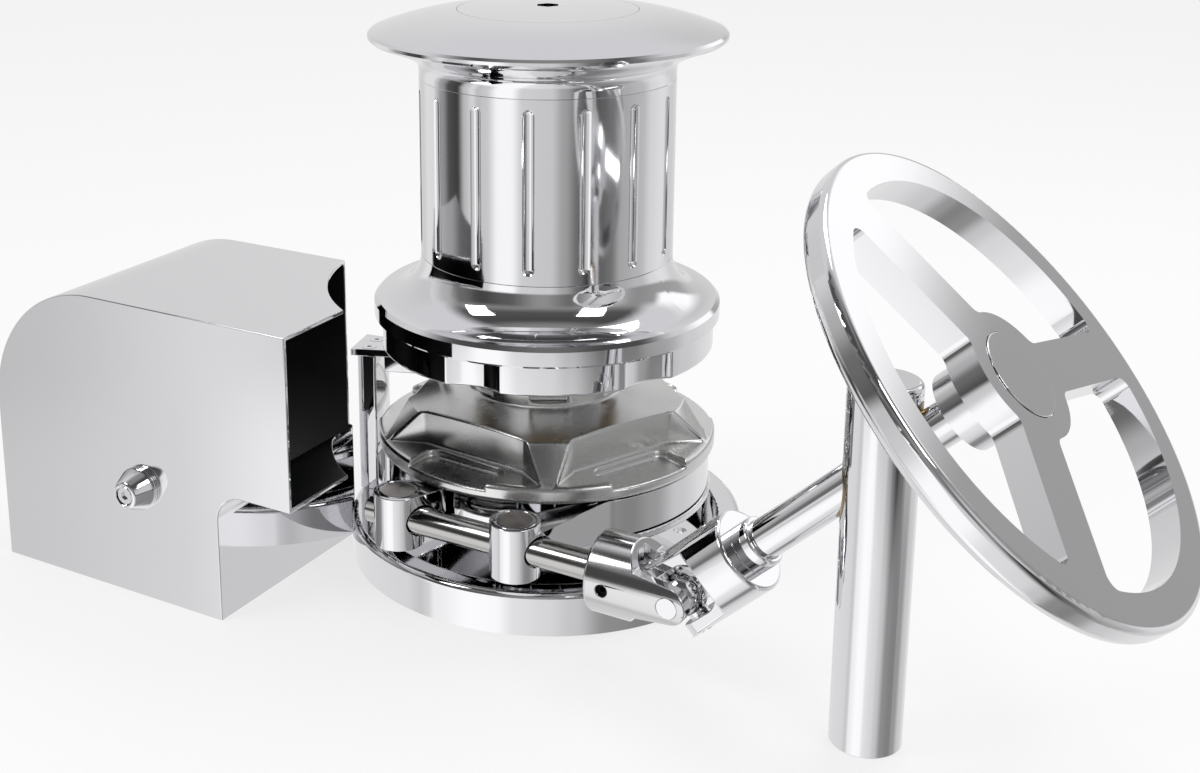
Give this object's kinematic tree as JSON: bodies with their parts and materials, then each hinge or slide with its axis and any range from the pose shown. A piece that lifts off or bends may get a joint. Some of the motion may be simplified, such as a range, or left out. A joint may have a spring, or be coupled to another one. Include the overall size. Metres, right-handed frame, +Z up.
{
  "type": "anchor windlass",
  "caption": "Vertical anchor windlass with a rope drum over a chain wheel, a band brake turned by an inclined handwheel, and a chain pipe hood.",
  "frame": {"origin": "on the deck, on the axis of the main shaft", "axes": "+Z up along the main shaft, +X along the brake screw towards the handwheel, the screw on the -Y side"},
  "size_m": [0.8887, 0.474, 0.449],
  "materials": {
    "polished_steel": "mirror polished stainless steel",
    "satin_steel": "turned and satin finished stainless steel",
    "dark_steel": "blackened steel",
    "bronze": "machined bearing bronze",
    "brake_lining": "moulded friction lining",
    "seal_rubber": "moulded rubber"
  },
  "bodies": {
    "base": {"base_plate": "polished_steel", "lower_bush": "bronze", "shaft_seal": "seal_rubber", "thrust_washer": "bronze", "anchor_pin": "satin_steel", "fixed_band": "polished_steel", "fixed_lining": "brake_lining", "plain_trunnion": "satin_steel", "post": "polished_steel", "post_bush": "bronze", "post_top": "polished_steel", "post_plug": "satin_steel", "hood": "polished_steel", "chain_pipe": "satin_steel", "hood_bracket": "satin_steel", "knob_washer": "polished_steel", "stripper_post": "polished_steel", "stripper_arm": "polished_steel", "stripper_finger": "polished_steel", "stripper_screws": "satin_steel"},
    "rope_drum": {"main_shaft": "satin_steel", "drum_key": "satin_steel", "drum_flange": "polished_steel", "barrel": "polished_steel", "hat_flange": "polished_steel", "clutch_ring": "polished_steel", "ring_screws": "satin_steel", "clutch_cone": "bronze"},
    "clutch_cap": {"cap_nut": "polished_steel"},
    "chain_wheel": {"gypsy": "satin_steel", "brake_drum": "polished_steel", "gypsy_bush": "bronze"},
    "wheel_and_shaft": {"handwheel": "polished_steel", "hub_cap": "polished_steel", "hub_nut": "satin_steel", "wheel_shaft": "satin_steel", "shaft_collar": "polished_steel", "shaft_yoke": "polished_steel", "shaft_yoke_pin": "satin_steel", "joint_ball": "satin_steel", "shaft_yoke_set_screw": "dark_steel"},
    "screw": {"brake_screw": "satin_steel", "screw_yoke": "polished_steel", "screw_yoke_pins": "satin_steel", "screw_yoke_set_screw": "dark_steel"},
    "band_half": {"live_band": "polished_steel", "live_lining": "brake_lining"},
    "band_nut": {"nut_trunnion": "satin_steel"},
    "knob": {"hood_knob": "polished_steel", "knob_screw": "satin_steel"}
  },
  "joints": [
    {"name": "drum_spin", "type": "hinge", "parent": "base", "child": "rope_drum", "pos_m": [0, 0, 0], "axis": [0, 0, 1], "continuous": true},
    {"name": "cap_turn", "type": "hinge", "parent": "rope_drum", "child": "clutch_cap", "pos_m": [0, 0, 0.44], "axis": [0, 0, 1], "range_deg": [0, 360]},
    {"name": "chain_wheel_spin", "type": "hinge", "parent": "base", "child": "chain_wheel", "pos_m": [0, 0, 0], "axis": [0, 0, 1], "continuous": true},
    {"name": "handwheel_turn", "type": "hinge", "parent": "base", "child": "wheel_and_shaft", "pos_m": [0.1932, -0.148, 0.0723], "axis": [0.729, 0, 0.6845], "range_deg": [0, 432]},
    {"name": "screw_turn", "type": "hinge", "parent": "base", "child": "screw", "pos_m": [0.1932, -0.148, 0.0723], "axis": [1, 0, 0], "range_deg": [0, 432]},
    {"name": "band_swing", "type": "hinge", "parent": "base", "child": "band_half", "pos_m": [0, 0.1435, 0.07], "axis": [0, 0, 1], "range_deg": [0, 0.601]},
    {"name": "nut_swivel", "type": "hinge", "parent": "band_half", "child": "band_nut", "pos_m": [-0.046, -0.148, 0.0723], "axis": [0, 0, 1], "range_deg": [-0.601, 0]},
    {"name": "knob_turn", "type": "hinge", "parent": "base", "child": "knob", "pos_m": [-0.219, -0.245, 0.093], "axis": [0, -1, 0], "range_deg": [0, 720]}
  ],
  "couplings": [
    {"joint": "screw_turn", "follows": "handwheel_turn", "ratio": 1},
    {"joint": "band_swing", "follows": "handwheel_turn", "ratio": 0.0013889},
    {"joint": "nut_swivel", "follows": "handwheel_turn", "ratio": -0.0013889}
  ]
}
